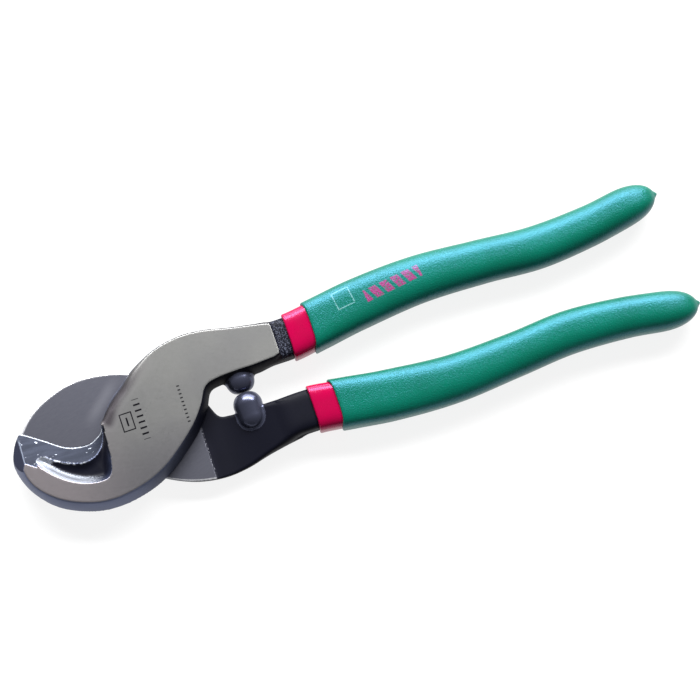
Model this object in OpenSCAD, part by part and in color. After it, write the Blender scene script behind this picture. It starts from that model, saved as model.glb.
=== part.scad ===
// Hand cable cutter: two lapped forgings from one drawing on a flush rivet, each handle dipped twice.
// X runs from the rivet along the closed tool to the handle ends, Y towards the front half's handle,
// and Z out of the rear half's ground face, so the two halves shear on the plane z = plate_t.

/* [Head] */
// Thickness of each forged half at the joint
plate_t = 6.5; // [5.4:0.1:7.8]
// Rivet centre to the nose of the front half's hook
hook_reach = 56.3; // [47:0.1:67]
// Rivet centre to the nose of the rear half's blade
blade_reach = 55.3; // [46:0.1:66]
// Depth of the hook's belly below the rivet
hook_belly = 25; // [22:0.1:30]
// Height of the blade's belly over the rivet, ground a little smaller than the hook's
blade_belly = 23.9; // [21:0.1:29]
// Height of the shoulders over the rivet
shoulder_h = 26.9; // [24:0.1:32]
// Rivet centre to the end of the ground face on the tang
face_l = 46.4; // [42:0.1:54]
// In-plan run of the drafted side walls
draft_run = 2.1; // [1.2:0.1:2.6]
// Height of the ridge between the bevel and the scooped groove
ridge_h = 4; // [3:0.1:4.6]
// Height of the groove's floor above the shear plane
groove_floor = 2.6; // [1.8:0.1:3]

/* [Joint] */
// Radius of the rivet's shank
rivet_r = 5; // [4:0.1:6.2]
// Radius of the countersunk rivet heads
rivet_head_r = 6.6; // [6.3:0.1:8]
// Depth of each countersunk head
rivet_head_t = 1.8; // [1.2:0.1:2.4]
// Running clearance of the front half on the rivet
run_clear = 0.05; // [0.02:0.01:0.1]
// Gap between the two ground faces
shear_gap = 0.04; // [0.02:0.01:0.1]
// Depth by which the tangs' forged skin lies below the joint face
skin_drop = 0.3; // [0.1:0.05:0.6]
// Rivet centre to the line where that skin starts
skin_x = 10.7; // [9.5:0.1:12.5]

/* [Stops] */
// Radius of the handle stops where they meet
stop_r = 5.3; // [4.3:0.1:6.3]
// Depth by which each stop's ball is ground flat where they meet
stop_flat = 0.6; // [0.3:0.1:1]
// Rivet centre to the stops
stop_x = 29.3; // [27:0.1:34]
// Length of each stop between its ball centres
stop_l = 4.4; // [3:0.1:6]
// Gap between the closed stops
stop_gap = 0.1; // [0.05:0.01:0.2]

/* [Handles] */
// Rivet centre to the end of the handles
handle_l = 195; // [165:1:235]
// Distance of the tangs' inner sides from the middle of the tool
tang_in = 6.5; // [5.6:0.1:8]
// Width of a tang where it enters its grip
tang_w = 14.9; // [12.4:0.1:18]
// Thickness of a tang inside its grip
tang_t = 8.9; // [7.4:0.1:9.6]
// Distance of the front half's throat from the middle of the tool
front_throat = 5.3; // [4.6:0.1:6.4]
// Distance of the rear half's throat from the middle of the tool
rear_throat = 6.3; // [5.2:0.1:7.4]
// How far the handles bow out past the tangs
bow_out = 5.6; // [4:0.1:7]
// How much narrower the grips are at the waist than at the collar
waist = 3; // [2:0.1:3.6]

/* [Grips] */
// Thickness of the first dip
base_t = 1.15; // [0.95:0.05:1.5]
// Thickness of the second dip
cover_t = 0.8; // [0.6:0.05:1]
// Rivet centre to the rim of the first dip
base_x = 50.6; // [49:0.1:58]
// Rivet centre to the rim of the second dip
cover_x = 58.5; // [57:0.1:68]
// Clearance between a dip and what it covers
dip_clear = 0.02; // [0.01:0.01:0.04]
// Radius of the drip at the end of each grip
drip_r = 1.1; // [0.8:0.1:1.6]

/* [Hidden] */
$fn = 64;

steps = 5;          // points drawn between two points of an outline
ring_n = 24;        // points round a tang or a grip
over = 0.6;         // how far a blank reaches past its cutting edge before the bevel is ground
nose_run = 3;       // wider draft on the nose
cheek_run = 3.2;    // wider draft where the front half sweeps down to the edge
spare = 2;          // how far a cutting tool stands out of what it cuts
tang_start = 12;    // where the tang's own section starts, inside the head
ramp_start = 17;    // the tang crosses the shear plane only outside the other half's sweep
ramp_bite = 0.7;    // depth at which the tang starts inside the plate
boxy = 5;           // exponent of the bare tang's section
firm = 4;           // exponent of a grip's section at its collar
stop_taper = 0.5;   // a stop is this much slimmer at its far end
soft = 2.6;         // exponent of a grip's section from the swell on
tang_end = 9;       // tang ends this far short of the handle's end
round_l = 19;       // length of the rounded end of a grip

// A smooth curve through points p, drawn with n points to each span
function span(a, b, c, d, t) =
    0.5 * (2 * b + (c - a) * t + (2 * a - 5 * b + 4 * c - d) * t * t + (3 * b - a - 3 * c + d) * t * t * t);
function curve(p, n) = [
    for (i = [0 : len(p) - 2], k = [0 : n - 1])
        span(i > 0 ? p[i - 1] : 2 * p[0] - p[1], p[i], p[i + 1],
             i < len(p) - 2 ? p[i + 2] : 2 * p[i + 1] - p[i], k / n),
    p[len(p) - 1]];

// A value read off rows of [x, value], with a smooth curve between them
function ease(t) = t * t * (3 - 2 * t);
function clamp(t) = min(1, max(0, t));
function slope(rows, i) =
    let (a = rows[max(0, i - 1)], b = rows[min(len(rows) - 1, i + 1)]) (b[1] - a[1]) / (b[0] - a[0]);
function read(rows, x, i = 0) =
    i < len(rows) - 2 && x > rows[i + 1][0] ? read(rows, x, i + 1)
    : let (w = rows[i + 1][0] - rows[i][0], t = clamp((x - rows[i][0]) / w))
        rows[i][1] + (rows[i + 1][1] - rows[i][1]) * ease(t)
            + w * t * (1 - t) * ((1 - t) * slope(rows, i) - t * slope(rows, i + 1));

function flat(p) = [p[0], p[1]];
function unit(v) = v / norm(v);
function left_of(v) = [-v[1], v[0]];

// ---- outline of a forged half, drawn at the shear plane; each point is [x, y, run of the draft],
// and size is [reach, belly] of its jaw ----
function jaw(f, g, size, run) = [-f * size[0], g * size[1], run];
function neck(f, g, run) = [f * face_l, g * shoulder_h, run];

function belly_side(size, throat) = [
    jaw(0.902, 0.50, size, 0), jaw(0.971, 0.28, size, nose_run), jaw(1, 0, size, nose_run),
    jaw(0.943, -0.384, size, draft_run * 0.85), jaw(0.81, -0.728, size, draft_run),
    jaw(0.623, -0.936, size, draft_run), jaw(0.445, -1, size, draft_run),
    jaw(0.249, -0.936, size, draft_run), jaw(0.089, -0.792, size, draft_run),
    neck(0.065, -0.528, draft_run), neck(0.226, -0.283, draft_run), neck(0.328, -0.06, draft_run),
    [0.388 * face_l, throat - 1.8, draft_run * 0.9], [0.465 * face_l, throat - 0.45, draft_run * 0.9],
    [0.62 * face_l, throat, draft_run * 0.9], [0.78 * face_l, throat, draft_run * 0.9],
    [0.95 * face_l, (throat + tang_in) / 2, draft_run * 0.8]];
function top_side(size) = [
    neck(-0.27, 0.595, cheek_run), neck(-0.129, 0.78, draft_run), neck(0.065, 0.929, draft_run),
    neck(0.28, 1, draft_run), neck(0.474, 0.98, draft_run), neck(0.69, 0.894, draft_run),
    [0.95 * face_l, tang_in + tang_w + 0.7, draft_run * 0.8]];
function cheek_side(size) = [
    jaw(0.389, 0.228, size, cheek_run * 0.15), jaw(0.370, 0.292, size, cheek_run * 0.35),
    jaw(0.342, 0.404, size, cheek_run * 0.8), jaw(0.285, 0.536, size, cheek_run)];

// Cutting edge, ridge, groove floor and groove rim run side by side from beyond the nose to the cheek
function edge_line(size) = [
    jaw(1.05, 0.62, size, 0), jaw(0.897, 0.46, size, 0), jaw(0.779, 0.276, size, 0),
    jaw(0.65, 0.068, size, 0), jaw(0.525, 0.008, size, 0), jaw(0.452, 0.068, size, 0),
    jaw(0.418, 0.136, size, 0), jaw(0.4, 0.25, size, 0)];
function ridge_line(size) = [
    jaw(1.05, 0.36, size, ridge_h * 0.9), jaw(0.9, 0.2, size, ridge_h * 0.92),
    jaw(0.808, 0.012, size, ridge_h), jaw(0.683, -0.18, size, ridge_h),
    jaw(0.555, -0.264, size, ridge_h), jaw(0.466, -0.18, size, ridge_h),
    jaw(0.424, -0.04, size, ridge_h * 0.9), jaw(0.399, 0.252, size, ridge_h * 0.3)];
function floor_line(size) = [
    jaw(1.05, 0.28, size, ridge_h * 1.1), jaw(0.905, 0.14, size, ridge_h * 1.1),
    jaw(0.8, -0.1, size, groove_floor * 1.2), jaw(0.683, -0.3, size, groove_floor),
    jaw(0.53, -0.4, size, groove_floor), jaw(0.435, -0.33, size, groove_floor),
    jaw(0.402, -0.12, size, groove_floor * 1.1), jaw(0.398, 0.254, size, groove_floor * 0.6)];
function rim_line(size) = [
    jaw(1.05, 0.08, size, plate_t), jaw(0.915, 0.01, size, plate_t),
    jaw(0.826, -0.22, size, plate_t), jaw(0.68, -0.496, size, plate_t),
    jaw(0.509, -0.624, size, plate_t), jaw(0.42, -0.52, size, plate_t),
    jaw(0.392, -0.2, size, plate_t), jaw(0.396, 0.258, size, plate_t)];

// The blank runs past the cutting edge by a little, so that the bevel makes the edge
function past_edge(e, i) =
    flat(e[i]) + over * unit(left_of(flat(e[min(i + 1, len(e) - 1)]) - flat(e[max(i - 1, 0)])));
function edge_side(size) =
    let (e = edge_line(size))
    [for (i = [1 : len(e) - 2]) [past_edge(e, i)[0], past_edge(e, i)[1], 0]];

// The two sides start at the hook's tip, have as many points each, and end at the ground face's end
function near_side(size, throat) = concat(curve(belly_side(size, throat), steps), [
    [face_l + 0.4, tang_in + 0.8, draft_run * 0.6], [face_l + 0.6, tang_in + 2.8, draft_run * 0.5]]);
function far_side(size) = concat(
    curve(concat(edge_side(size), cheek_side(size), top_side(size)), steps), [
    [face_l + 0.4, tang_in + tang_w - 0.6, draft_run * 0.6],
    [face_l + 0.6, tang_in + tang_w - 2.6, draft_run * 0.5]]);
function outline(size, throat) =
    let (far = far_side(size))
    concat(near_side(size, throat), [for (i = [len(far) - 1 : -1 : 0]) far[i]]);

// Outline drawn inwards by share k of each point's run
function inset(p, k) = [
    for (i = [0 : len(p) - 1])
        let (a = p[(i + len(p) - 1) % len(p)], b = p[(i + 1) % len(p)])
        flat(p[i]) + k * p[i][2] * unit(left_of(flat(b) - flat(a)))];

// Faces between two neighbouring rings of n points that start at points a0 and b0
function band(a0, b0, n) = [
    for (i = [0 : n - 1], h = [0, 1])
        let (j = (i + 1) % n)
        h == 0 ? [a0 + i, b0 + j, a0 + j] : [a0 + i, b0 + i, b0 + j]];

// A flat ring closed by a ribbon from its first half to its second, as its outline runs there and back
function ribbon(a0, n) = [
    for (i = [0 : n / 2 - 2], h = [0, 1])
        h == 0 ? [a0 + i, a0 + i + 1, a0 + n - 2 - i] : [a0 + i, a0 + n - 2 - i, a0 + n - 1 - i]];
function turned(faces) = [for (f = faces) [f[0], f[2], f[1]]];

// Solid through a stack of rings of equal length, closed by its first and last ring
module loft(rings) {
    n = len(rings[0]);
    m = len(rings);
    polyhedron(
        points = [for (r = rings, q = r) q],
        faces = concat(
            [[for (i = [0 : n - 1]) i]],
            [for (j = [0 : m - 2]) each band(j * n, (j + 1) * n, n)],
            [[for (i = [n - 1 : -1 : 0]) (m - 1) * n + i]]),
        convexity = 8);
}

// The same for a stack of outlines
module slab(rings) {
    n = len(rings[0]);
    m = len(rings);
    polyhedron(
        points = [for (r = rings, q = r) q],
        faces = concat(
            ribbon(0, n),
            [for (j = [0 : m - 2]) each band(j * n, (j + 1) * n, n)],
            turned(ribbon((m - 1) * n, n))),
        convexity = 8);
}

// Heights and inset shares of the drafted wall, which rounds over towards the face
wall_steps = [[0, 0], [0.45, 0.22], [0.8, 0.55], [1, 1]];

module plate(size, throat) {
    p = outline(size, throat);
    slab([for (w = wall_steps)
        [for (q = inset(p, w[1])) [q[0], q[1], shear_gap / 2 + w[0] * (plate_t - shear_gap / 2)]]]);
}

// Everything ground away above the cutting edge: the bevel, and the groove behind its ridge
module scoop(size) {
    edge = curve(edge_line(size), steps);
    ridge = curve(ridge_line(size), steps);
    groove = curve(floor_line(size), steps);
    rim = curve(rim_line(size), steps);
    back = 0.25;
    loft([for (i = [0 : len(edge) - 1])
        let (low = edge[i] + back * (edge[i] - ridge[i]),
             high = rim[i] + (rim[i] - groove[i]) * spare / (plate_t - groove[i][2]))
        [[low[0], low[1], plate_t + spare], high, groove[i], ridge[i], low]]);
}

// ---- handles: everything along a handle is a ring at one x, set by these profiles ----
tang_y = tang_in + tang_w / 2;
grip_w = tang_w + 2 * (base_t + cover_t);
grip_h = tang_t + 2 * (base_t + cover_t);
function along(f) = base_x + f * (handle_l - base_x);
centre_rows = [
    [tang_start, tang_y + 2.2], [0.6 * face_l, tang_y + 0.9], [base_x - 1, tang_y],
    [along(0.085), tang_y + 0.3 * bow_out], [along(0.19), tang_y + 0.69 * bow_out],
    [along(0.355), tang_y + bow_out], [along(0.522), tang_y + 0.8 * bow_out],
    [along(0.667), tang_y + 0.53 * bow_out], [along(0.813), tang_y + 0.78 * bow_out],
    [along(0.916), tang_y + 1.2 * bow_out], [handle_l, tang_y + 1.41 * bow_out]];
width_rows = [
    [base_x, grip_w], [along(0.2), grip_w - 0.08 * waist], [along(0.355), grip_w - 0.42 * waist],
    [along(0.522), grip_w - 0.87 * waist], [along(0.69), grip_w - waist],
    [along(0.84), grip_w - 1.3 * waist], [handle_l, grip_w - 1.4 * waist]];
bare_rows = [[tang_start, tang_w + 1.5], [0.5 * face_l, tang_w + 3], [face_l, tang_w]];

function end_round(x, last) =
    let (u = clamp((x - last + round_l) / round_l)) sqrt(max(0.01, 1 - u * u * u));
function half_w(x) = read(width_rows, x) / 2;
function power(x) = x < base_x ? boxy : firm + (soft - firm) * clamp((x - base_x) / 50);
function sgn_pow(v, e) = sign(v) * pow(abs(v), e);

// Ring of a grip layer drawn in by depth d; last is where that layer ends
function grip_ring(x, d, last) =
    let (k = end_round(x, last), y = read(centre_rows, x), e = 2 / power(x))
    [for (i = [0 : ring_n - 1])
        let (a = 360 * i / ring_n)
        [x, y + k * (half_w(x) - d) * sgn_pow(cos(a), e), k * (grip_h / 2 - d) * sgn_pow(sin(a), e)]];

// Stations of a grip layer: close together near the rounded end
function stations(first, last, n = 18, m = 7) = concat(
    [for (i = [0 : n - 1]) first + (last - round_l - first) * i / n],
    [for (i = [0 : m]) last - round_l * pow(1 - i / m, 1.6)]);

// The bare tang crosses the shear plane gradually, clear of the other half's sweep
function ramp(x) = clamp((x - ramp_start) / (face_l - ramp_start));
function tang_low(x) = -(tang_t / 2 + ramp_bite) * ease(ramp(x)) + ramp_bite;
function tang_ring(x) =
    let (w = read(bare_rows, x) / 2, y = read(centre_rows, x), top = tang_t / 2, low = tang_low(x),
         mid = (top + low) / 2, e = 2 / boxy)
    [for (i = [0 : ring_n - 1])
        let (a = 360 * i / ring_n)
        [x, y + w * sgn_pow(cos(a), e), mid + (top - mid) * sgn_pow(sin(a), e)]];

module tang() {
    last = handle_l - tang_end;
    head = [for (i = [0 : 9]) tang_start + (face_l - tang_start) * i / 10];
    loft(concat(
        [for (x = head) tang_ring(x)],
        [for (x = concat([face_l, base_x - 0.5], stations(base_x, last)))
            grip_ring(x, base_t + cover_t, last)]));
}

// A dipped coat: closed at the handle's end, open at its rim, lined by what it covers
module coat(first, out, in, last, core_last) {
    outer = [for (x = stations(first, last)) grip_ring(x, out, last)];
    inner = [for (x = stations(first, core_last)) grip_ring(x, in, core_last)];
    n = ring_n;
    m = len(outer);
    polyhedron(
        points = [for (r = concat(outer, inner), q = r) q],
        faces = concat(
            [for (j = [0 : m - 2]) each band(j * n, (j + 1) * n, n)],
            [for (j = [m : 2 * m - 2]) each band((j + 1) * n, j * n, n)],
            band(m * n, 0, n),
            [[for (i = [n - 1 : -1 : 0]) (m - 1) * n + i]],
            [[for (i = [0 : n - 1]) (2 * m - 1) * n + i]]),
        convexity = 8);
}

base_last = handle_l - cover_t;
core_last = handle_l - tang_end;

module grip_base() {
    coat(base_x, cover_t, base_t + cover_t - dip_clear, base_last, core_last + dip_clear);
}

module grip_cover() {
    coat(cover_x, 0, cover_t - dip_clear, handle_l, base_last + dip_clear);
    translate([handle_l - 0.1, read(centre_rows, handle_l), 0]) sphere(r = drip_r);
}

// ---- the forgings ----
module stop() {
    small_r = stop_r - stop_taper;
    box_w = 2 * (stop_r + spare);
    difference() {
        translate([stop_x, stop_r - stop_flat + stop_gap / 2, 0]) {
            sphere(r = stop_r);
            rotate([-90, 0, 0]) cylinder(r1 = stop_r, r2 = small_r, h = stop_l);
            translate([0, stop_l, 0]) sphere(r = small_r);
        }
        translate([stop_x - box_w / 2, stop_gap / 2 - spare, -box_w / 2]) cube([box_w, spare, box_w]);
    }
}

// Space of the rivet in a half, wider than the rivet by the clearance
module rivet_space(gap) {
    translate([0, 0, -spare]) cylinder(r = rivet_r + gap, h = plate_t + 2 * spare);
    translate([0, 0, plate_t - rivet_head_t])
        cylinder(r1 = rivet_r + gap, r2 = rivet_head_r + gap, h = rivet_head_t);
    translate([0, 0, plate_t]) cylinder(r = rivet_head_r + gap, h = spare);
}

module forged_half(size, throat, gap) {
    skin_l = 2 * face_l;
    difference() {
        union() {
            difference() {
                plate(size, throat);
                scoop(size);
                translate([skin_x, -skin_l / 2, -spare]) cube([skin_l, skin_l, spare + skin_drop]);
            }
            tang();
            stop();
        }
        rivet_space(gap);
    }
}

module front_half() {
    color("silver") translate([0, 0, plate_t])
        forged_half([hook_reach, hook_belly], front_throat, run_clear);
}

module rear_half() {
    color("dimgray") translate([0, 0, plate_t]) rotate([180, 0, 0])
        forged_half([blade_reach, blade_belly], rear_throat, 0);
}

module pivot_rivet() {
    color("gainsboro") union() {
        cylinder(r = rivet_r, h = 2 * plate_t);
        cylinder(r1 = rivet_head_r, r2 = rivet_r, h = rivet_head_t);
        translate([0, 0, 2 * plate_t - rivet_head_t])
            cylinder(r1 = rivet_r, r2 = rivet_head_r, h = rivet_head_t);
    }
}

module upper_grip_base() {
    color("deeppink") translate([0, 0, plate_t]) grip_base();
}

module upper_grip_cover() {
    color("mediumseagreen") translate([0, 0, plate_t]) grip_cover();
}

module lower_grip_base() {
    color("deeppink") translate([0, 0, plate_t]) rotate([180, 0, 0]) grip_base();
}

module lower_grip_cover() {
    color("mediumseagreen") translate([0, 0, plate_t]) rotate([180, 0, 0]) grip_cover();
}

front_half();
rear_half();
pivot_rivet();
upper_grip_base();
upper_grip_cover();
lower_grip_base();
lower_grip_cover();
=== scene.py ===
# Hand cable cutter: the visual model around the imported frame. Lengths are in millimetres until a mesh is made.
import math

import bpy
import numpy as np
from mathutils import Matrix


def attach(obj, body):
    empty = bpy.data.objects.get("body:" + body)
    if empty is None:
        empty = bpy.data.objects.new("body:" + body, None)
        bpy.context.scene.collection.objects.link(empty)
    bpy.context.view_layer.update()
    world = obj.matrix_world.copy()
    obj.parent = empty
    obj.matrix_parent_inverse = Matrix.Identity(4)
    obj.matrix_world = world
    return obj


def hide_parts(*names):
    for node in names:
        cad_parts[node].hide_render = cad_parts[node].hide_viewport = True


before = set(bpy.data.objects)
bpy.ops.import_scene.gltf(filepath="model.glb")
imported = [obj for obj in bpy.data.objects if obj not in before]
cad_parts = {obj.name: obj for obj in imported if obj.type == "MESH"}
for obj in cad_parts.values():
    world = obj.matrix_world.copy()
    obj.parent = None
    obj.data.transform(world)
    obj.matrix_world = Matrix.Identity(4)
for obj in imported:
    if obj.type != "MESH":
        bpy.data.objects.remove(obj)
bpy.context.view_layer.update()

import openvdb
from mathutils import Matrix, Vector

MM = 0.001

# ---- sizes, as in the CAD source ----
PLATE_T = 6.5
SHEAR_Z = PLATE_T
HOOK, BLADE = (56.3, 25.0), (55.3, 23.9)    # reach and belly of each jaw
SHOULDER_H, FACE_L = 26.9, 46.4
DRAFT, NOSE_RUN, CHEEK_RUN = 2.1, 3.0, 3.2
SHEAR_GAP, SKIN_DROP, SKIN_X = 0.04, 0.3, 10.7
GROOVE_FLOOR = 2.6
RIVET_R, RIVET_HEAD_R, RIVET_HEAD_T = 5.0, 6.6, 1.8
STOP_R, STOP_X, STOP_L, STOP_GAP = 5.3, 29.3, 4.4, 0.1
STOP_FLAT, STOP_TAPER = 0.6, 0.5
HANDLE_L, TANG_IN, TANG_W, TANG_T = 195.0, 6.5, 14.9, 8.9
FRONT_THROAT, REAR_THROAT = 5.3, 6.3
BOW_OUT, WAIST = 5.6, 3.0
BASE_T, COVER_T, BASE_X, COVER_X = 1.15, 0.8, 50.6, 58.5
DIP_CLEAR, DRIP_R = 0.02, 1.1
TANG_END, ROUND_L = 9.0, 19.0
BOXY, FIRM, SOFT = 5.0, 4.0, 2.6
EDGE_OVER = 0.6
RAMP_START = 17.0

# ---- sizes of the visual model only ----
TOP_DRAFT = 1.2             # draft along the top of the head, steeper than the rest
FLUSH = 0.01                # the rivet's heads stand this little over the ground faces
RIVET_BITE = 0.4            # the bore is this much smaller than the rivet, so that no gap shows round its head
SOFT_FROM, SOFT_FADE = 7.5, 4.5     # depth inside the outline at which the soft wall starts, and its run
JAW_END = -12.0             # bevel, pocket and chips lie before this
FACET_END, FACET_Z, FACET_FALL, FACET_RISE = -40.0, 5.0, 0.47, 0.9      # facet ground on the nose
MELT_START, MELT_RUN, MELT_Z = 37.0, 8.0, 2.5       # where the head's under side flows into the tang
TANG_FIRST, TANG_LAST, CORE_FIRST = 39.0, 55.6, 54.6
FRONT_WEB, REAR_WEB = 1.5, 0.6      # fillet between a stop and its tang
FAR = 99.0                  # height of a ground form where there is none


# ---- curves and profiles ----
def curve(points, n):
    """Smooth curve through the points, n steps to each span."""
    p = np.asarray(points, float)
    q = np.vstack([2 * p[0] - p[1], p, 2 * p[-1] - p[-2]])
    t = (np.arange(n) / n)[:, None]
    spans = []
    for i in range(len(p) - 1):
        a, b, c, d = q[i:i + 4]
        spans.append(0.5 * (2 * b + (c - a) * t + (2 * a - 5 * b + 4 * c - d) * t**2
                            + (3 * b - a - 3 * c + d) * t**3))
    return np.vstack(spans + [p[-1:]])


def ease(t):
    return t * t * (3 - 2 * t)


def read(rows, x):
    """Value at x of rows of (x, value), with a smooth curve between them."""
    rows = np.asarray(rows, float)
    xs, v = rows[:, 0], rows[:, 1]
    hi, lo = np.minimum(np.arange(len(v)) + 1, len(v) - 1), np.maximum(np.arange(len(v)) - 1, 0)
    slope = (v[hi] - v[lo]) / (xs[hi] - xs[lo])
    i = np.clip(np.searchsorted(xs, x, side="left") - 1, 0, len(v) - 2)
    w = xs[i + 1] - xs[i]
    t = np.clip((x - xs[i]) / w, 0, 1)
    return (v[i] + (v[i + 1] - v[i]) * ease(t)
            + w * t * (1 - t) * ((1 - t) * slope[i] - t * slope[i + 1]))


def along(f):
    return BASE_X + f * (HANDLE_L - BASE_X)


TANG_Y = TANG_IN + TANG_W / 2
GRIP_W = TANG_W + 2 * (BASE_T + COVER_T)
GRIP_H = TANG_T + 2 * (BASE_T + COVER_T)
CENTRE_ROWS = [
    (12, TANG_Y + 2.2), (0.6 * FACE_L, TANG_Y + 0.9), (BASE_X - 1, TANG_Y),
    (along(0.085), TANG_Y + 0.3 * BOW_OUT), (along(0.19), TANG_Y + 0.69 * BOW_OUT),
    (along(0.355), TANG_Y + BOW_OUT), (along(0.522), TANG_Y + 0.8 * BOW_OUT),
    (along(0.667), TANG_Y + 0.53 * BOW_OUT), (along(0.813), TANG_Y + 0.78 * BOW_OUT),
    (along(0.916), TANG_Y + 1.2 * BOW_OUT), (HANDLE_L, TANG_Y + 1.41 * BOW_OUT)]
WIDTH_ROWS = [
    (BASE_X, GRIP_W), (along(0.2), GRIP_W - 0.08 * WAIST), (along(0.355), GRIP_W - 0.42 * WAIST),
    (along(0.522), GRIP_W - 0.87 * WAIST), (along(0.69), GRIP_W - WAIST),
    (along(0.84), GRIP_W - 1.3 * WAIST), (HANDLE_L, GRIP_W - 1.4 * WAIST)]


def grip_power(x):
    return np.where(x < BASE_X, BOXY, FIRM + (SOFT - FIRM) * np.clip((x - BASE_X) / 50, 0, 1))


def sgn_pow(v, e):
    return np.sign(v) * np.abs(v) ** e


# ---- signed fields in the plan of a half ----
def nearest(p, line, closed=False):
    """Distance from p to the line, which side it is on, and the line's other values there."""
    a, b = (line, np.roll(line, -1, 0)) if closed else (line[:-1], line[1:])
    best = np.full(len(p), 1e9)
    side = np.zeros(len(p))
    values = np.zeros((len(p), line.shape[1] - 2))
    for s, e in zip(a, b):
        run = e[:2] - s[:2]
        dx, dy = p[:, 0] - s[0], p[:, 1] - s[1]
        t = np.clip((dx * run[0] + dy * run[1]) / (run @ run + 1e-12), 0, 1)
        ox, oy = dx - t * run[0], dy - t * run[1]
        d = ox * ox + oy * oy
        near = d < best
        best[near] = d[near]
        side[near] = np.sign(run[0] * oy - run[1] * ox)[near]
        values[near] = s[2:] + (e[2:] - s[2:]) * t[near, None]
    return np.sqrt(best), side, values


def inside(p, loop):
    odd = np.zeros(len(p), bool)
    for s, e in zip(loop, np.roll(loop, -1, 0)):
        spans = (s[1] > p[:, 1]) != (e[1] > p[:, 1])
        cross = s[0] + (p[:, 1] - s[1]) * (e[0] - s[0]) / (e[1] - s[1] + 1e-12)
        odd ^= spans & (p[:, 0] < cross)
    return odd


def smooth_max(a, b, k):
    h = np.clip(k - np.abs(a - b), 0, None) / k
    return np.maximum(a, b) + h * h * k / 4


def smooth_min(a, b, k):
    return -smooth_max(-a, -b, k)


def outline(size, throat):
    """Closed outline at the shear plane: x, y, run of the draft, and how softly it meets the face."""
    def jaw(f, g, run, soft=0.0):
        return (-f * size[0], g * size[1], run, soft)

    def neck(f, g, run, soft=0.0):
        return (f * FACE_L, g * SHOULDER_H, run, soft)

    d9 = DRAFT * 0.9
    near = [
        jaw(0.902, 0.50, 0), jaw(0.971, 0.28, NOSE_RUN), jaw(1, 0, NOSE_RUN),
        jaw(0.943, -0.384, DRAFT * 0.85), jaw(0.81, -0.728, DRAFT), jaw(0.623, -0.936, DRAFT),
        jaw(0.445, -1, DRAFT), jaw(0.249, -0.936, DRAFT), jaw(0.089, -0.792, DRAFT),
        neck(0.065, -0.528, DRAFT), neck(0.226, -0.283, DRAFT), neck(0.328, -0.06, DRAFT),
        (0.388 * FACE_L, throat - 1.8, d9, 0), (0.465 * FACE_L, throat - 0.45, d9, 0),
        (0.62 * FACE_L, throat, d9, 0), (0.78 * FACE_L, throat, d9, 0),
        (0.95 * FACE_L, (throat + TANG_IN) / 2, DRAFT * 0.8, 0)]
    edge = np.array([jaw(f, g, 0) for f, g in EDGE])
    flow = np.gradient(edge[:, :2], axis=0)
    flow /= np.linalg.norm(flow, axis=1)[:, None]
    edge[:, 0] -= EDGE_OVER * flow[:, 1]
    edge[:, 1] += EDGE_OVER * flow[:, 0]
    far = [tuple(e) for e in edge[1:-1]] + [
        jaw(0.389, 0.228, CHEEK_RUN * 0.15, 1), jaw(0.370, 0.292, CHEEK_RUN * 0.35, 1),
        jaw(0.342, 0.404, CHEEK_RUN * 0.8, 1), jaw(0.285, 0.536, CHEEK_RUN, 1),
        neck(-0.27, 0.595, CHEEK_RUN, 1), neck(-0.129, 0.78, DRAFT, 0.6), neck(0.065, 0.929, TOP_DRAFT),
        neck(0.28, 1, TOP_DRAFT), neck(0.474, 0.98, TOP_DRAFT), neck(0.69, 0.894, TOP_DRAFT),
        (0.95 * FACE_L, TANG_IN + TANG_W + 0.7, DRAFT * 0.8, 0)]
    near_end = [(FACE_L + 0.4, TANG_IN + 0.8, DRAFT * 0.6, 0), (FACE_L + 0.6, TANG_IN + 2.8, DRAFT * 0.5, 0)]
    far_end = [(FACE_L + 0.4, TANG_IN + TANG_W - 0.6, DRAFT * 0.6, 0),
               (FACE_L + 0.6, TANG_IN + TANG_W - 2.6, DRAFT * 0.5, 0)]
    loop = np.vstack([curve(near, 8), near_end, np.vstack([curve(far, 8), far_end])[::-1]])
    loop[:, 2:] = np.clip(loop[:, 2:], 0, (9, 1))
    return loop


# Shares of reach and belly: cutting edge, ridge behind the bevel, and the rim of the scooped pocket
EDGE = [(1.05, 0.62), (0.897, 0.46), (0.779, 0.276), (0.65, 0.068), (0.525, 0.008), (0.452, 0.068),
        (0.418, 0.136), (0.4, 0.25)]
RIDGE = [(0.79, -0.005), (0.744, -0.1), (0.68, -0.18), (0.615, -0.245), (0.555, -0.264),
         (0.506, -0.236), (0.466, -0.18), (0.434, -0.09), (0.416, 0.0), (0.399, 0.14)]
RIM = [(0.79, -0.005), (0.808, 0.018), (0.834, 0.012), (0.855, -0.03), (0.85, -0.08), (0.824, -0.19),
       (0.753, -0.36), (0.678, -0.488), (0.595, -0.576), (0.508, -0.618), (0.452, -0.6), (0.42, -0.52),
       (0.404, -0.36), (0.398, -0.18), (0.393, -0.01), (0.389, 0.14)]
BEVEL_RISE = 0.59
WALL_REACH, RIDGE_REACH = 4.3, 3.2
CHAMFER, CHAMFER_DROP = 0.25, 0.33


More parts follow.
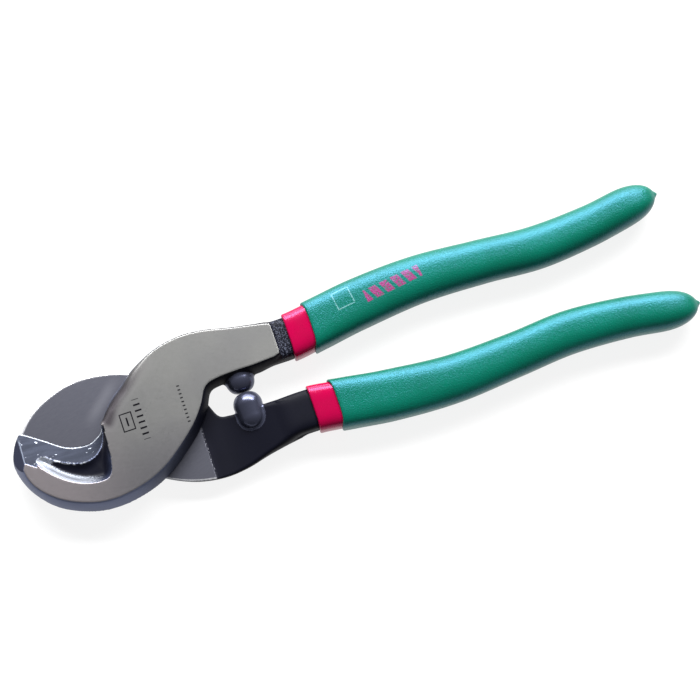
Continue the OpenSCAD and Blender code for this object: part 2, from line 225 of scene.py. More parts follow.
def cut_height(p, size):
    """Over the plan: height of the bevel and of the pocket behind its ridge, depth inside the pocket's
    outline, how much painted highlight its wall takes, and how chipped its ridge is."""
    scale = np.array([-size[0], size[1]])
    edge = curve(np.array(EDGE) * scale, 10)
    ridge = curve(np.array(RIDGE) * scale, 8)
    rim = curve(np.array(RIM) * scale, 8)

    def bevel_at(q):
        d, side, _ = nearest(q, edge)
        return -side * d * BEVEL_RISE

    bevel = bevel_at(p)
    rim_z = np.minimum(bevel_at(rim), PLATE_T)
    ridge_z = np.minimum(bevel_at(ridge), PLATE_T)
    d_rim, _, z_rim = nearest(p, np.c_[rim, rim_z])
    d_ridge, _, z_ridge = nearest(p, np.c_[ridge, ridge_z])
    loop = np.vstack([rim, ridge[::-1]])
    within = inside(p, loop)
    z_rim, z_ridge = z_rim[:, 0], z_ridge[:, 0]
    floor = np.minimum(GROOVE_FLOOR, 0.7 * z_ridge)
    u = np.clip(d_rim / WALL_REACH, 0, 1)
    v = np.clip((u - CHAMFER) / (1 - CHAMFER), 0, 1)
    fall = np.where(u < CHAMFER, u / CHAMFER * CHAMFER_DROP,
                    CHAMFER_DROP + (1 - CHAMFER_DROP) * (1 - (1 - v) ** 2.2))
    wall = z_rim - (z_rim - floor) * fall
    w = np.clip(d_ridge / RIDGE_REACH, 0, 1)
    back = z_ridge - (z_ridge - floor) * (1 - (1 - w) ** 2)
    pocket = np.where(within, smooth_max(wall, back, 0.5), FAR)
    depth = np.where(within, np.minimum(d_rim, d_ridge), -np.minimum(d_rim, d_ridge))
    nose = np.array([(0.85, -0.08), (0.86, -0.2), (1.2, -0.6), (1.2, 0.9)]) * scale
    in_bevel = inside(p, np.vstack([edge, ridge[::-1], nose]))
    bevel = np.where(in_bevel | ((bevel < 0) & (p[:, 0] < -0.4 * size[0])), bevel, FAR)
    # lit: share of the painted highlight on the pocket's outer wall, near its rim and towards the nose
    lit = (1 - ease(np.clip((d_rim - 2.0) / 1.5, 0, 1))) * ease(np.clip((-26 - p[:, 0]) / 11, 0, 1))
    chip = np.clip(1.2 - d_ridge / 0.3, 0, 1) * ease(np.clip((-30 - p[:, 0]) / 4, 0, 1))
    return bevel, pocket, depth, np.where(within, lit, 0.0), chip


STEP = 0.32
X0, X1, Y0, Y1 = -58.2, 56.4, -27.6, 29.4
LAYER_Z = 0.06          # one layer of samples lies just over the shear plane, for a clean cutting edge
Z_DOWN, Z_UP = -5.4, 7.2


def plan_zones(gx, gy, p, size):
    """Ground forms over the plan, and the lowest of them."""
    jaw_part = gx < JAW_END
    bevel = np.full(gx.shape, FAR)
    pocket, depth = bevel.copy(), -bevel
    lit, chip = np.zeros(gx.shape), np.zeros(gx.shape)
    for plan, values in zip((bevel, pocket, depth, lit, chip), cut_height(p[jaw_part.ravel()], size)):
        plan[jaw_part] = values
    facet = FACET_Z - FACET_FALL * (gy - 3) + FACET_RISE * (gx + size[0] - 4.6)
    facet = np.where(gx < FACET_END, facet, FAR)
    top = np.minimum(np.minimum(bevel, pocket), np.minimum(facet, PLATE_T - FLUSH))
    return dict(bevel=bevel, pocket=depth, facet=facet, top=top, lit=lit, chip=chip)


def wall_field(z, run, soft, d):
    """Drafted side wall, with a crisp upper edge where soft is 0 and a round one where it is 1."""
    share = np.clip(z / PLATE_T, 0, 1)
    crisp = 0.4 * share + 0.6 * (1 - np.sqrt(1 - (0.93 * share) ** 2)) / (1 - math.sqrt(1 - 0.93**2))
    full = 1 - np.sqrt(np.clip(1 - share**2, 0, 1))
    inset = crisp + (0.25 * share + 0.75 * full - crisp) * soft[..., None]
    return (run[..., None] * inset + 0.12 * np.clip(-z, 0, None) - d[..., None]) * 0.95


def top_field(z, top):
    """Height over the ground forms, divided by their slope."""
    slope_x, slope_y = np.gradient(np.clip(top, -2, 9), STEP)
    steep = np.sqrt(1 + np.minimum(slope_x**2 + slope_y**2, 9.0))
    return (z - top[..., None]) / steep[..., None]


def under_field(gx, z):
    """Under side: the shear plane at the joint, the forged skin, then the ramp down to the tang's."""
    u = np.clip((gx - RAMP_START) / (FACE_L - RAMP_START), 0, 1)
    low = np.where(gx < SKIN_X, SHEAR_GAP / 2, SKIN_DROP - (SKIN_DROP + TANG_T / 2) * ease(u))
    return low[..., None] - z


def tang_field(xs, ys, z):
    half = read(WIDTH_ROWS, xs)[:, None, None] / 2 - BASE_T - COVER_T
    e = grip_power(xs)[:, None, None]
    mid = read(CENTRE_ROWS, xs)[:, None, None]
    across, up = np.abs((ys[None, :, None] - mid) / half) ** e, np.abs(z / (TANG_T / 2)) ** e
    return ((across + up) ** (1 / e) - 1) * TANG_T / 2


def stop_field(gx, gy, z):
    """Tapered stop with round ends, ground flat where it meets the other one."""
    first = STOP_R - STOP_FLAT + STOP_GAP / 2
    sy = np.clip(gy, first, first + STOP_L)[..., None]
    stop = (np.sqrt((gx[..., None] - STOP_X) ** 2 + (gy[..., None] - sy) ** 2 + z**2)
            - STOP_R + STOP_TAPER * (sy - first) / STOP_L)
    return smooth_max(stop, STOP_GAP / 2 - gy[..., None], 1.2)


def rivet_hole(gx, gy, z):
    shank = np.sqrt(gx**2 + gy**2)[..., None]
    flare = (RIVET_HEAD_R - RIVET_R) * np.clip(z - (PLATE_T - RIVET_HEAD_T), 0, None) / RIVET_HEAD_T
    return RIVET_R - RIVET_BITE + flare - shank


def forging_field(size, throat, web):
    """Signed field of a forged half over a grid, negative inside, and its zones in plan."""
    xs = np.arange(X0, X1, STEP)
    ys = np.arange(Y0, Y1, STEP)
    lift = LAYER_Z - STEP * math.ceil((LAYER_Z - Z_DOWN) / STEP)
    zs = np.arange(lift, Z_UP, STEP)
    gx, gy = np.meshgrid(xs, ys, indexing="ij")
    p = np.c_[gx.ravel(), gy.ravel()]
    loop = outline(size, throat)
    d, _, extra = nearest(p, loop, closed=True)
    d = np.where(inside(p, loop), d, -d).reshape(gx.shape)
    run, soft = extra[:, 0].reshape(gx.shape), extra[:, 1].reshape(gx.shape)
    soft = soft * ease(np.clip((SOFT_FROM - d) / SOFT_FADE, 0, 1))
    zones = plan_zones(gx, gy, p, size)

    x, z = xs[:, None, None], zs[None, None, :]
    wall, over, under = wall_field(z, run, soft, d), top_field(z, zones["top"]), under_field(gx, z)
    edge_round = np.clip((gx - SKIN_X) / 12, 0, 1)[..., None]
    late = ease(np.clip((gx - 32) / 10, 0, 1))[..., None]
    body = np.where(edge_round > 0, smooth_max(wall, under, 0.2 + edge_round + 1.4 * late),
                    np.maximum(wall, under))
    tang = tang_field(xs, ys, z)
    melt = ease(np.clip((x - MELT_START) / MELT_RUN, 0, 1)) * ease(np.clip((MELT_Z - z) / 2, 0, 1))
    body = body + (tang - body) * melt
    plain = ((zones["pocket"] < -0.5) & (zones["bevel"] > PLATE_T + 1))[..., None]
    field = np.where(plain, smooth_max(body, over, 0.3 + 1.5 * soft[..., None]), np.maximum(body, over))

    tang = np.maximum(np.maximum(tang, under), np.maximum(TANG_FIRST - x, x - TANG_LAST))
    field = smooth_min(np.maximum(field, x - TANG_LAST), tang, 0.02 + 0.7 * ease(np.clip(z / 1.5, 0, 1)))
    field = smooth_min(field, stop_field(gx, gy, z), web)
    field = np.maximum(field, rivet_hole(gx, gy, z))
    return xs, ys, zs, field.astype(np.float32), dict(zones, soft=soft, inward=d)


def sample(xs, ys, values, q):
    """Bilinear reading of a plan field at points q."""
    fx = np.clip((q[:, 0] - xs[0]) / STEP, 0, len(xs) - 1.001)
    fy = np.clip((q[:, 1] - ys[0]) / STEP, 0, len(ys) - 1.001)
    i, j = fx.astype(int), fy.astype(int)
    u, v = fx - i, fy - j
    return ((values[i, j] * (1 - v) + values[i, j + 1] * v) * (1 - u)
            + (values[i + 1, j] * (1 - v) + values[i + 1, j + 1] * v) * u)


def new_mesh(name, verts, faces, material, smooth=True):
    """Object from points in millimetres in the frame's coordinates."""
    mesh = bpy.data.meshes.new(name)
    mesh.from_pydata((np.asarray(verts) * MM).tolist(), [], [tuple(f) for f in faces])
    mesh.polygons.foreach_set("use_smooth", np.full(len(mesh.polygons), smooth))
    mesh.materials.append(material)
    mesh.update()
    obj = bpy.data.objects.new(name, mesh)
    bpy.context.collection.objects.link(obj)
    return obj


def ring_faces(m, n, first=0, caps=(True, True)):
    """Quads of m rings of n points, and n-gon caps."""
    faces = []
    for j in range(m - 1):
        a, b = first + j * n, first + (j + 1) * n
        faces += [(a + i, a + (i + 1) % n, b + (i + 1) % n, b + i) for i in range(n)]
    if caps[0]:
        faces.append(tuple(first + i for i in range(n))[::-1])
    if caps[1]:
        faces.append(tuple(first + (m - 1) * n + i for i in range(n)))
    return faces


def end_round(x, last):
    u = np.clip((x - last + ROUND_L) / ROUND_L, 0, 1)
    return np.sqrt(np.maximum(0.0, 1 - u**3))


def grip_ring(x, depth, last, n, bow=0.0):
    """Ring of a grip layer, drawn in by a depth; bow pushes its middle towards the handle's end."""
    a = 2 * math.pi * np.arange(n) / n
    k = max(0.02, float(end_round(np.array(x), last)))
    e = 2 / float(grip_power(np.array(x)))
    y = float(read(CENTRE_ROWS, np.array(x)))
    half = float(read(WIDTH_ROWS, np.array(x))) / 2 - depth
    return np.c_[x + bow * np.abs(np.sin(a)) ** 1.5,
                 y + k * half * sgn_pow(np.cos(a), e), k * (GRIP_H / 2 - depth) * sgn_pow(np.sin(a), e)]


def stations(first, last, n, m):
    return ([first + (last - ROUND_L - first) * i / n for i in range(n)]
            + [last - ROUND_L * (1 - i / m) ** 1.8 for i in range(m + 1)])


def tang_core(n=32):
    last = HANDLE_L - TANG_END
    rings = [grip_ring(x, BASE_T + COVER_T, last, n) for x in stations(CORE_FIRST, last, 24, 8)]
    return np.vstack(rings), ring_faces(len(rings), n)


def surface(xs, ys, zs, field):
    """Closed surface where the field is zero, with its faces looking outwards."""
    grid = openvdb.FloatGrid(1.0)
    grid.copyFromArray(np.ascontiguousarray(field))
    points, tris, quads = grid.convertToPolygons(isovalue=0.0, adaptivity=0.0)
    v = np.array([xs[0], ys[0], zs[0]]) + np.asarray(points, float) * STEP
    faces = [tuple(int(i) for i in f) for part in (quads, tris) for f in part]
    q = np.asarray(quads)
    volume = sum(np.einsum("ij,ij->i", v[q[:, 0]], np.cross(v[q[:, a]], v[q[:, b]])).sum()
                 for a, b in ((1, 2), (2, 3)))
    return v, ([f[::-1] for f in faces] if volume < 0 else faces)


def finish_zones(v, at):
    """How much of each finish and of each painted highlight there is at the points, from the plan's values
    there.
    """
    z = v[:, 2]
    joint = (np.abs(z - SHEAR_GAP / 2) < 0.12) * np.clip((SKIN_X - 0.1 - v[:, 0]) / 0.3, 0, 1)
    low = z < PLATE_T - 0.14
    on_top = low & (z > 0.07) & (np.abs(z - at["top"]) < 0.5)
    on_bevel = on_top & (np.abs(z - at["bevel"]) < 0.25) & (at["pocket"] < 0.1)
    in_pocket = low & (at["pocket"] > 0.05) & (z > 0.1)
    first = STOP_R - STOP_FLAT
    side = v[:, 1] - np.clip(v[:, 1], first, first + STOP_L)
    on_stop = np.hypot(np.hypot(v[:, 0] - STOP_X, side), z) < STOP_R + 0.25
    # rim, edge and lit place painted highlights: the joint face's outer rim, the cutting edge and the pocket's
    # outer wall
    return dict(
        soft=at["soft"], joint=joint, rim=joint * np.clip((0.75 - at["inward"]) / 0.3, 0, 1),
        bevel=on_bevel, pocket=in_pocket, facet=on_top & (np.abs(z - at["facet"]) < 0.3) & ~on_bevel,
        edge=on_bevel * np.clip((0.32 - z) / 0.22, 0, 1), lit=at["lit"] * in_pocket,
        crest=on_top & (np.abs(z - at["facet"]) < 0.22) & (np.abs(z - at["bevel"]) < 0.22),
        chip=at["chip"] * on_top, stop=on_stop, step=(v[:, 0] > FACE_L - 0.3) & (z > 1.0) & low)


def forging(name, size, throat, web, turned, material):
    """A forged half: its head from a field, and the tang's core, which the grip covers."""
    xs, ys, zs, field, plan = forging_field(size, throat, web)
    v, faces = surface(xs, ys, zs, field)
    core, core_faces = tang_core()
    faces += [tuple(i + len(v) for i in f) for f in core_faces]
    v = np.vstack([v, core])
    flip = -1 if turned else 1
    row = np.c_[v[:, 0], flip * v[:, 1], SHEAR_Z + flip * v[:, 2]]
    obj = new_mesh(name, row, faces, material)
    for key, w in finish_zones(v, {k: sample(xs, ys, values, v) for k, values in plan.items()}).items():
        layer = obj.data.attributes.new(key, "FLOAT", "POINT")
        layer.data.foreach_set("value", np.asarray(w, np.float32))
    return obj


def coat(name, first, out, inner, last, core_last, bow, turned, material, nib=False):
    """A dipped coat: outer skin, rounded lip, inner skin, and a drip at its end if nib is set."""
    n = 96
    outer = stations(first + 0.6, last, 90, 28)
    fade = lambda x: bow * math.exp(-(x - first) / 7.0)
    rings = [grip_ring(x, out, last, n, fade(x)) for x in outer][::-1]
    lip = (inner - out)
    for k in range(1, 7):
        a = math.pi / 2 * k / 6
        draw = out + lip * 0.55 * (1 - math.cos(a))
        rings.append(grip_ring(first + 0.6 * (1 - math.sin(a)), draw, last, n, bow))
    rings.append(grip_ring(first, out + lip * 0.98, last, n, bow))
    for x in stations(first + 0.05, core_last, 16, 8):
        rings.append(grip_ring(x, inner, core_last, n, fade(x)))
    v = np.vstack(rings)
    if nib:
        far = np.hypot(v[:, 1] - float(read(CENTRE_ROWS, np.array(HANDLE_L))), v[:, 2])
        v[:, 0] += np.where(v[:, 0] > HANDLE_L - 3, DRIP_R * np.exp(-(far / DRIP_R) ** 2), 0)
    faces = [f[::-1] for f in ring_faces(len(rings), n)]
    if turned:
        v = np.c_[v[:, 0], -v[:, 1], -v[:, 2]]
    v[:, 2] += SHEAR_Z
    return new_mesh(name, v, faces, material)


# ---- materials ----
class Nodes:
    """Short-hand for a node tree."""

    def __init__(self, name):
        self.mat = bpy.data.materials.new(name)
        self.mat.use_nodes = True
        self.tree = self.mat.node_tree
        self.tree.nodes.clear()
        self.out = self.new("ShaderNodeOutputMaterial")
        self.shader = self.new("ShaderNodeBsdfPrincipled")
        self.link(self.shader.outputs[0], self.out.inputs["Surface"])
        self.coords = self.new("ShaderNodeTexCoord")

    def new(self, kind, **values):
        node = self.tree.nodes.new(kind)
        for key, value in values.items():
            setattr(node, key, value)
        return node

    def link(self, a, b):
        self.tree.links.new(a, b)

    def put(self, socket, value):
        if isinstance(value, (int, float)):
            socket.default_value = value
        elif isinstance(value, tuple):
            socket.default_value = value if len(value) == len(socket.default_value) else (*value, 1.0)
        else:
            self.link(value, socket)

    def math(self, op, a, b=0.0, c=0.0, clamp=False):
        node = self.new("ShaderNodeMath", operation=op, use_clamp=clamp)
        for socket, value in zip(node.inputs, (a, b, c)):
            self.put(socket, value)
        return node.outputs[0]

    def mix(self, share, a, b):
        node = self.new("ShaderNodeMix", data_type="RGBA")
        self.put(node.inputs[0], share)
        self.put(node.inputs[6], a)
        self.put(node.inputs[7], b)
        return node.outputs[2]

    def blend(self, share, a, b):
        node = self.new("ShaderNodeMix", data_type="FLOAT")
        self.put(node.inputs[0], share)
        self.put(node.inputs[2], a)
        self.put(node.inputs[3], b)
        return node.outputs[0]

    def ramp(self, value, lo, hi, out_lo=0.0, out_hi=1.0):
        node = self.new("ShaderNodeMapRange", clamp=True, interpolation_type="SMOOTHSTEP")
        for socket, v in zip(node.inputs, (value, lo, hi, out_lo, out_hi)):
            self.put(socket, v)
        return node.outputs[0]

    def place(self, scale=(1, 1, 1), rotation=(0, 0, 0), location=(0, 0, 0), vector=None):
        node = self.new("ShaderNodeMapping")
        self.link(vector or self.coords.outputs["Object"], node.inputs["Vector"])
        node.inputs["Scale"].default_value = scale
        node.inputs["Rotation"].default_value = rotation
        node.inputs["Location"].default_value = location
        return node.outputs[0]

    def noise(self, vector, scale, detail=2.0, rough=0.5):
        node = self.new("ShaderNodeTexNoise")
        self.link(vector, node.inputs["Vector"])
        node.inputs["Scale"].default_value = scale
        node.inputs["Detail"].default_value = detail
        node.inputs["Roughness"].default_value = rough
        return node.outputs["Fac"]

    def axes(self, vector=None):
        node = self.new("ShaderNodeSeparateXYZ")
        self.link(vector or self.coords.outputs["Object"], node.inputs[0])
        return node.outputs

    def flag(self, name):
        return self.new("ShaderNodeAttribute", attribute_name=name).outputs["Fac"]

    def bump(self, height, strength, distance):
        node = self.new("ShaderNodeBump")
        node.inputs["Strength"].default_value = strength
        node.inputs["Distance"].default_value = distance
        self.link(height, node.inputs["Height"])
        return node.outputs[0]


def srgb(r, g, b):
    return tuple(((v / 255 + 0.055) / 1.055) ** 2.4 if v > 10 else v / 255 / 12.92 for v in (r, g, b)) + (1.0,)


BRUSH_TURN = math.radians(-12)


def brushed(n):
    """Fine parallel grinding marks, about 0.05 mm apart."""
    turned = n.place(rotation=(0, 0, BRUSH_TURN))
    streak = n.place(scale=(60, 1800, 1800), vector=turned)
    return n.noise(streak, 8.0, 3.0, 0.6)


def local(n, centre, turn=0.0):
    """Plan coordinates about a centre in millimetres, turned by some degrees."""
    at = n.place(location=(-centre[0] * MM, -centre[1] * MM, 0))
    return n.axes(n.place(rotation=(0, 0, math.radians(-turn)), vector=at))


def box(n, xyz, half, soft=0.08):
    """1 inside a rectangle of the plan and 0 outside it."""
    far = n.math("MAXIMUM", n.math("SUBTRACT", n.math("ABSOLUTE", xyz[0]), half[0] * MM),
                 n.math("SUBTRACT", n.math("ABSOLUTE", xyz[1]), half[1] * MM))
    return n.ramp(far, soft * MM, -soft * MM)


def stripes(n, value, pitch, share):
    return n.ramp(n.math("PINGPONG", value, pitch / 2 * MM), (1 - share) * pitch / 2 * MM,
                  ((1 - share) * pitch / 2 + 0.14) * MM)


def hollow(n, xyz, half, line):
    return n.math("SUBTRACT", box(n, xyz, half), box(n, xyz, (half[0] - line, half[1] - line)), clamp=True)


def etched_mark(n):
    """Plain etched stamp on the front face: an empty frame, a row of bars and a row of dashes."""
    sign = local(n, (-13.2, 1.9))
    mark = n.math("ADD", hollow(n, sign, (2.3, 3.4), 0.42), box(n, sign, (0.3, 1.6)), clamp=True)
    bars = local(n, (-8.3, 1.4))
    row = n.math("MULTIPLY", box(n, bars, (1.2, 7.6)), stripes(n, bars[1], 2.2, 0.36))
    mark = n.math("ADD", mark, row, clamp=True)
    dashes = local(n, (7.6, 1.8))
    dashes = n.math("MULTIPLY", box(n, dashes, (0.5, 7.2)), stripes(n, dashes[1], 1.5, 0.4))
    on_top = n.ramp(n.axes()[2], 0.0125, 0.0128)
    return n.math("MULTIPLY", n.math("ADD", mark, dashes, clamp=True), on_top)


ETCH = (24, 24, 29)


def ground_colour(n, streaks, cloud):
    xyz = n.axes()
    ground = n.mix(n.ramp(cloud, 0.3, 0.7), srgb(126, 126, 126), srgb(134, 134, 132))
    ground = n.mix(n.ramp(streaks, 0.35, 0.7, 0.0, 0.5), ground, srgb(112, 112, 113))
    ground = n.mix(n.ramp(xyz[1], 0.002, -0.02), ground, srgb(110, 109, 112))
    return n.mix(n.ramp(xyz[0], -0.01, -0.045), ground, srgb(140, 134, 137))


# rim, edge and lit are painted highlights, not finishes
ZONES = ("soft", "joint", "rim", "bevel", "pocket", "facet", "edge", "lit", "stop", "step", "crest", "chip")


def times(n, a, b):
    return n.math("MULTIPLY", a, b)


def highest(n, *values):
    found = values[0]
    for value in values[1:]:
        found = n.math("MAXIMUM", found, value)
    return found


def skin_colour(n, w, tex, nose):
    """Blackened forging, blue-grey towards the nose, worn at the step, grey on the stop."""
    skin = n.mix(nose, srgb(7, 8, 17), srgb(96, 102, 124))
    cloudy = n.mix(nose, srgb(10, 11, 22), srgb(107, 113, 137))
    skin = n.mix(n.ramp(tex["cloud"], 0.35, 0.7), skin, cloudy)
    skin = n.mix(times(n, w["step"], n.ramp(tex["speck"], 0.45, 0.7, 0, 0.8)), skin, srgb(78, 82, 96))
    return n.mix(times(n, w["stop"], 0.9), skin, srgb(82, 85, 104))


def seam_glint_share(n, tex, up, xyz):
    """Broken painted highlight along the line where the joint face ends on the forged skin."""
    seam = n.ramp(n.math("ABSOLUTE", n.math("SUBTRACT", xyz[0], (SKIN_X - 0.1) * MM)), 0.0005, 0.0001)
    return times(n, seam, times(n, n.ramp(up, 0.9, 0.5), n.ramp(tex["speck"], 0.55, 0.66)))


def shear_colour(n, w, tex):
    """Joint face, with a lighter diagonal stripe of painted highlight and a painted highlight along its rim."""
    shear = n.mix(n.ramp(tex["streaks"], 0.3, 0.7), srgb(99, 100, 111), srgb(108, 109, 119))
    # painted highlight: a lighter diagonal stripe on the joint face beside the cheek
    highlight_band = local(n, (-20.0, 13.5), 42)
    highlight_band = times(n, n.ramp(n.math("ABSOLUTE", highlight_band[1]), 0.0032, 0.0),
                 n.ramp(n.math("ABSOLUTE", highlight_band[0]), 0.012, 0.003, 0, 0.45))
    shear = n.mix(highlight_band, shear, srgb(140, 141, 150))
    # painted highlight along the joint face's outer rim
    return n.mix(w["rim"], shear, srgb(225, 225, 230))


def bevel_colour(n, w):
    """Bevel in a low blue-grey tone that is a painted reflection of dim surroundings, with pale stains and a
    painted highlight along the cutting edge.
    """
    stain = n.noise(n.place(scale=(420, 1500, 420)), 1.0, 1.0)
    # low blue-grey base: painted reflection of dim surroundings on the ground bevel
    base = n.mix(n.ramp(n.noise(n.place(scale=(90, 500, 90)), 1.0, 2.0), 0.35, 0.65),
                 srgb(32, 36, 47), srgb(42, 46, 58))
    base = n.mix(n.ramp(stain, 0.72, 0.76), base, srgb(170, 176, 188))
    # painted highlight along the cutting edge
    return n.mix(w["edge"], base, srgb(205, 210, 220))


def pocket_colour(n, w, tex, up):
    """Scooped groove: painted shade on the floor, strongest low down, and a painted highlight on the outer wall,
    with a speckled border between them.
    """
    border = times(n, w["lit"], n.math("SUBTRACT", 1.0, w["lit"]))
    spread = times(n, border, n.ramp(tex["speck"], 0.35, 0.65, -0.9, 0.9))
    # painted shade in the pocket, deeper where the surface lies lower
    painted_shade = n.mix(n.ramp(up, 2.8, 6.0), srgb(13, 14, 24), srgb(30, 34, 50))
    # painted highlight on the pocket's outer wall where lit is high, speckled at its border
    return n.mix(n.math("ADD", w["lit"], spread, clamp=True), painted_shade, srgb(168, 173, 184))


def steel_gloss(n, w, tex, face, nose):
    """Metallic share, roughness and relief of the finishes."""
    cut = highest(n, w["bevel"], w["pocket"])
    bright = highest(n, face, w["joint"], highest(n, times(n, w["bevel"], 0.25), w["lit"]))
    dull = highest(n, n.blend(nose, 0.0, 0.7), times(n, w["stop"], 0.75))
    dull = times(n, dull, n.math("SUBTRACT", 1.0, cut, clamp=True))
    n.put(n.shader.inputs["Metallic"], n.blend(bright, dull, 1.0))
    rough = n.blend(w["stop"], 0.5, 0.24)
    ground = n.blend(w["soft"], n.ramp(tex["streaks"], 0.3, 0.7, 0.34, 0.42), 0.6)
    rough = n.blend(cut, n.blend(w["joint"], n.blend(face, rough, ground), 0.36), 0.45)
    n.put(n.shader.inputs["Roughness"], rough)
    n.shader.inputs["Specular IOR Level"].default_value = 0.08

    low = times(n, tex["streaks"], highest(n, face, w["joint"]))
    coarse = times(n, tex["grain"], n.math("SUBTRACT", 1.0, bright))
    lumps = times(n, tex["speck"], n.math("ADD", times(n, w["step"], 1.2), times(n, w["lit"], 0.3)))
    relief = n.math("ADD", times(n, low, 0.25), n.math("ADD", times(n, coarse, 0.5), lumps))
    n.put(n.shader.inputs["Normal"], n.bump(relief, 0.5, 0.00004))


def steel_material(name, turned):
    """Forged half: blackened skin, ground face, joint face, bevel and pocket, each where its zone is; the joint
    face, seam, cutting edge and pocket wall carry painted highlights, the pocket painted shade and the bevel a
    painted reflection.
    """
    n = Nodes(name)
    xyz, obj = n.axes(), n.coords.outputs["Object"]
    w = {key: n.flag(key) for key in ZONES}
    tex = dict(streaks=brushed(n), cloud=n.noise(obj, 45.0, 2.0), grain=n.noise(obj, 2600.0, 2.0),
               speck=n.noise(obj, 1900.0, 1.0))
    plane = SHEAR_Z * MM
    up = n.math("SUBTRACT", plane, xyz[2]) if turned else n.math("SUBTRACT", xyz[2], plane)
    up = times(n, up, 1000.0)
    height = n.math("ADD", n.math("SUBTRACT", up, PLATE_T - 0.07), times(n, w["soft"], 4.2))
    face = n.math("DIVIDE", height, n.math("ADD", times(n, w["soft"], 3.4), 0.04), clamp=True)
    face = times(n, face, n.math("SUBTRACT", 1.0, highest(n, w["bevel"], w["pocket"]), clamp=True))
    nose = n.ramp(xyz[0], 0.014, -0.03)

    ground = ground_colour(n, tex["streaks"], tex["cloud"])
    if not turned:
        ground = n.mix(etched_mark(n), ground, srgb(*ETCH))
    ground = n.mix(times(n, w["soft"], 0.9), ground, srgb(50, 46, 51))
    chips = times(n, w["chip"], n.ramp(n.noise(obj, 900.0, 2.0), 0.44, 0.62, 0, 0.8))
    colour = n.mix(face, skin_colour(n, w, tex, nose), ground)
    colour = n.mix(w["joint"], colour, shear_colour(n, w, tex))
    # painted highlight along the seam where the joint face ends on the skin
    colour = n.mix(times(n, seam_glint_share(n, tex, up, xyz), 0.6), colour, srgb(150, 150, 160))
    # bevel colour: painted reflection in its low tone and a painted highlight on the cutting edge
    colour = n.mix(w["bevel"], colour, bevel_colour(n, w))
    # pocket: painted shade on the floor and a painted highlight on the outer wall
    colour = n.mix(w["pocket"], colour, pocket_colour(n, w, tex, up))
    colour = n.mix(w["facet"], colour, srgb(44, 48, 68))
    colour = n.mix(times(n, w["crest"], 0.4), colour, srgb(140, 148, 165))
    n.put(n.shader.inputs["Base Color"], n.mix(chips, colour, srgb(225, 229, 238)))
    steel_gloss(n, w, tex, face, nose)
    return n.mat


def rivet_material():
    n = Nodes("rivet_steel")
    streaks = brushed(n)
    cloud = n.noise(n.coords.outputs["Object"], 45.0, 2.0)
    n.put(n.shader.inputs["Base Color"], ground_colour(n, streaks, cloud))
    n.shader.inputs["Metallic"].default_value = 1.0
    n.put(n.shader.inputs["Roughness"], n.ramp(streaks, 0.3, 0.7, 0.34, 0.42))
    n.shader.inputs["Specular IOR Level"].default_value = 0.15
    n.put(n.shader.inputs["Normal"], n.bump(n.math("MULTIPLY", streaks, 0.25), 0.5, 0.00004))
    return n.mat


def magenta_material():
    n = Nodes("magenta_vinyl")
    obj = n.coords.outputs["Object"]
    cloud = n.noise(obj, 120.0, 2.0)
    n.put(n.shader.inputs["Base Color"], n.mix(n.ramp(cloud, 0.3, 0.7), srgb(153, 0, 54), srgb(144, 0, 50)))
    n.put(n.shader.inputs["Roughness"], n.ramp(cloud, 0.3, 0.7, 0.16, 0.24))
    n.put(n.shader.inputs["Normal"], n.bump(n.noise(obj, 700.0, 2.0), 0.08, 0.0001))
    n.shader.inputs["Specular Tint"].default_value = (1, 0.3, 0.65, 1)
    return n.mat


def printed_mark(n):
    """Plain print on the upper grip: a frame and a row of slanting bars."""
    sign = local(n, (73.7, 20.1), 8)
    bars = local(n, (92.4, 19.6), 8)
    slant = n.math("ADD", bars[0], n.math("MULTIPLY", bars[1], 0.35))
    bars = n.math("MULTIPLY", box(n, bars, (11.0, 2.3), 0.15), stripes(n, slant, 4.4, 0.7))
    on_top = n.ramp(n.axes()[2], 0.0075, 0.0078)
    return n.math("MULTIPLY", hollow(n, sign, (3.4, 3.4), 0.4), on_top), n.math("MULTIPLY", bars, on_top)


def green_material():
    n = Nodes("green_vinyl")
    obj = n.coords.outputs["Object"]
    cloud = n.noise(obj, 60.0, 3.0)
    grain = n.noise(obj, 1900.0, 3.0, 0.6)
    base = n.mix(n.ramp(cloud, 0.3, 0.7), srgb(0, 87, 65), srgb(0, 94, 73))
    base = n.mix(n.ramp(grain, 0.3, 0.75, 0, 0.5), base, srgb(0, 74, 53))
    frame_mark, bar_mark = printed_mark(n)
    worn = n.ramp(grain, 0.34, 0.5)
    base = n.mix(n.math("MULTIPLY", frame_mark, n.math("MULTIPLY", worn, 0.5)), base, srgb(130, 170, 172))
    base = n.mix(n.math("MULTIPLY", bar_mark, worn), base, srgb(128, 18, 80))
    n.put(n.shader.inputs["Base Color"], base)
    n.put(n.shader.inputs["Roughness"], n.ramp(grain, 0.3, 0.7, 0.27, 0.4))
    n.put(n.shader.inputs["Normal"], n.bump(grain, 0.85, 0.00013))
    n.shader.inputs["Specular IOR Level"].default_value = 0.8
    n.shader.inputs["Specular Tint"].default_value = (0.18, 0.52, 0.92, 1)
    return n.mat


def floor_material():
    n = Nodes("studio_floor")
    n.shader.inputs["Base Color"].default_value = (0.16, 0.16, 0.16, 1)
    n.shader.inputs["Emission Color"].default_value = (1, 1, 1, 1)
    n.shader.inputs["Emission Strength"].default_value = 0.86
    n.shader.inputs["Roughness"].default_value = 0.9
    n.shader.inputs["Specular IOR Level"].default_value = 0.1
    return n.mat


# ---- camera and light ----
CAM_LOOK = Vector((0.0704, 0.0026, 0.0065))
CAM_BACK = Vector((-0.079, -0.229, 0.970))
CAM_UP = Vector((0.3158, 0.9172, 0.2425))
CAM_FAR = 0.760
LENS, SENSOR = 108.5, 36.0
LIGHT_SIDE = Vector((0.33, 0.95, 0))        # the lamps stand on this side of the tool
LAMP_SIZE = (1.6, 0.4)
FLOOR_HALF = 3.0


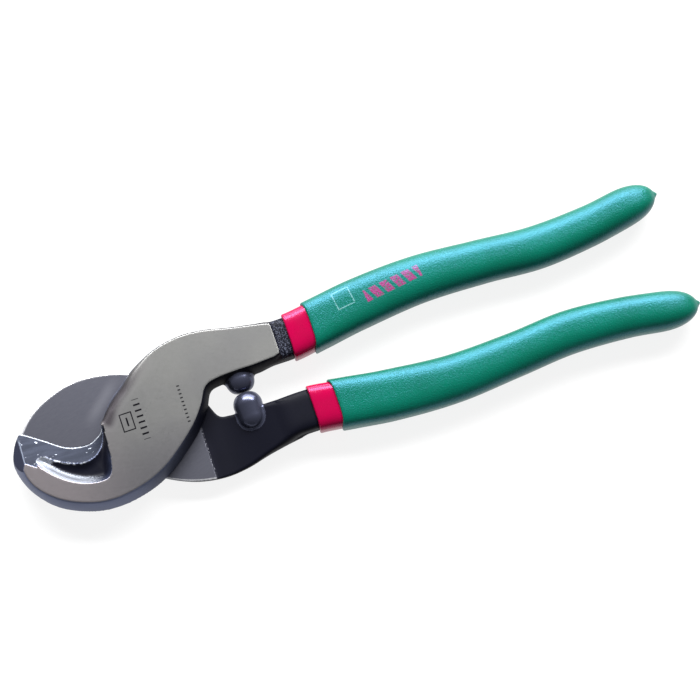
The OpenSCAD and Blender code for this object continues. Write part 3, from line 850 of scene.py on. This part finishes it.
def camera():
    data = bpy.data.cameras.new("camera")
    data.lens, data.sensor_width = LENS, SENSOR
    data.clip_start, data.clip_end = 0.01, 20
    cam = bpy.data.objects.new("camera", data)
    back = CAM_BACK.normalized()
    right = CAM_UP.cross(back).normalized()
    up = back.cross(right)
    turn = Matrix((right, up, back)).transposed().to_4x4()
    cam.matrix_world = Matrix.Translation(CAM_LOOK + back * CAM_FAR) @ turn
    bpy.context.collection.objects.link(cam)
    bpy.context.scene.camera = cam


def lamp(name, at, size, power):
    """Soft rectangular light that looks at what the camera looks at."""
    data = bpy.data.lights.new(name, "AREA")
    data.shape, data.size, data.size_y = "RECTANGLE", size[0], size[1]
    data.energy = power
    obj = bpy.data.objects.new(name, data)
    obj.location = at
    obj.rotation_euler = (CAM_LOOK - at).to_track_quat("-Z", "Y").to_euler()
    bpy.context.collection.objects.link(obj)


def studio():
    world = bpy.data.worlds.new("studio")
    bpy.context.scene.world = world
    world.use_nodes = True
    back = world.node_tree.nodes["Background"]
    back.inputs["Color"].default_value = (0.96, 0.98, 1.0, 1)
    back.inputs["Strength"].default_value = 0.21
    lamp("window", CAM_LOOK + LIGHT_SIDE * 0.8 + Vector((0, 0, 0.75)), LAMP_SIZE, 44)
    lamp("sill", CAM_LOOK + LIGHT_SIDE * 1.05 + Vector((0, 0, 0.33)), LAMP_SIZE, 16)
    bpy.context.scene.view_settings.view_transform = "Standard"
    mesh = bpy.data.meshes.new("studio_floor")
    s = FLOOR_HALF
    mesh.from_pydata([(-s, -s, 0), (s, -s, 0), (s, s, 0), (-s, s, 0)], [], [(0, 1, 2, 3)])
    mesh.materials.append(floor_material())
    floor = bpy.data.objects.new("studio_floor", mesh)
    bpy.context.collection.objects.link(floor)


# ---- the tool ----
def tool():
    front_steel, rear_steel = steel_material("front_steel", False), steel_material("rear_steel", True)
    magenta, green = magenta_material(), green_material()
    front = forging("front_forging", HOOK, FRONT_THROAT, FRONT_WEB, False, front_steel)
    rear = forging("rear_forging", BLADE, REAR_THROAT, REAR_WEB, True, rear_steel)
    parts = [(front, "front_body", "front_half"), (rear, "rear_body", "rear_half")]
    base_last, core_last = HANDLE_L - COVER_T, HANDLE_L - TANG_END
    for place, body, turned in (("upper", "front_body", False), ("lower", "rear_body", True)):
        base = coat(place + "_dip_base", BASE_X, COVER_T, BASE_T + COVER_T - DIP_CLEAR, base_last,
                    core_last + DIP_CLEAR, 0.3, turned, magenta)
        cover = coat(place + "_dip_cover", COVER_X, 0.0, COVER_T - DIP_CLEAR, HANDLE_L,
                     base_last + DIP_CLEAR, 1.3, turned, green, nib=True)
        parts += [(base, body, place + "_grip_base"), (cover, body, place + "_grip_cover")]
    for piece, body, node in parts:
        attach(piece, body)
        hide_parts(node)
    rivet = bpy.data.objects["pivot_rivet"]
    rivet_steel = rivet_material()
    for slot in rivet.material_slots:
        slot.material = rivet_steel


camera()
studio()
tool()
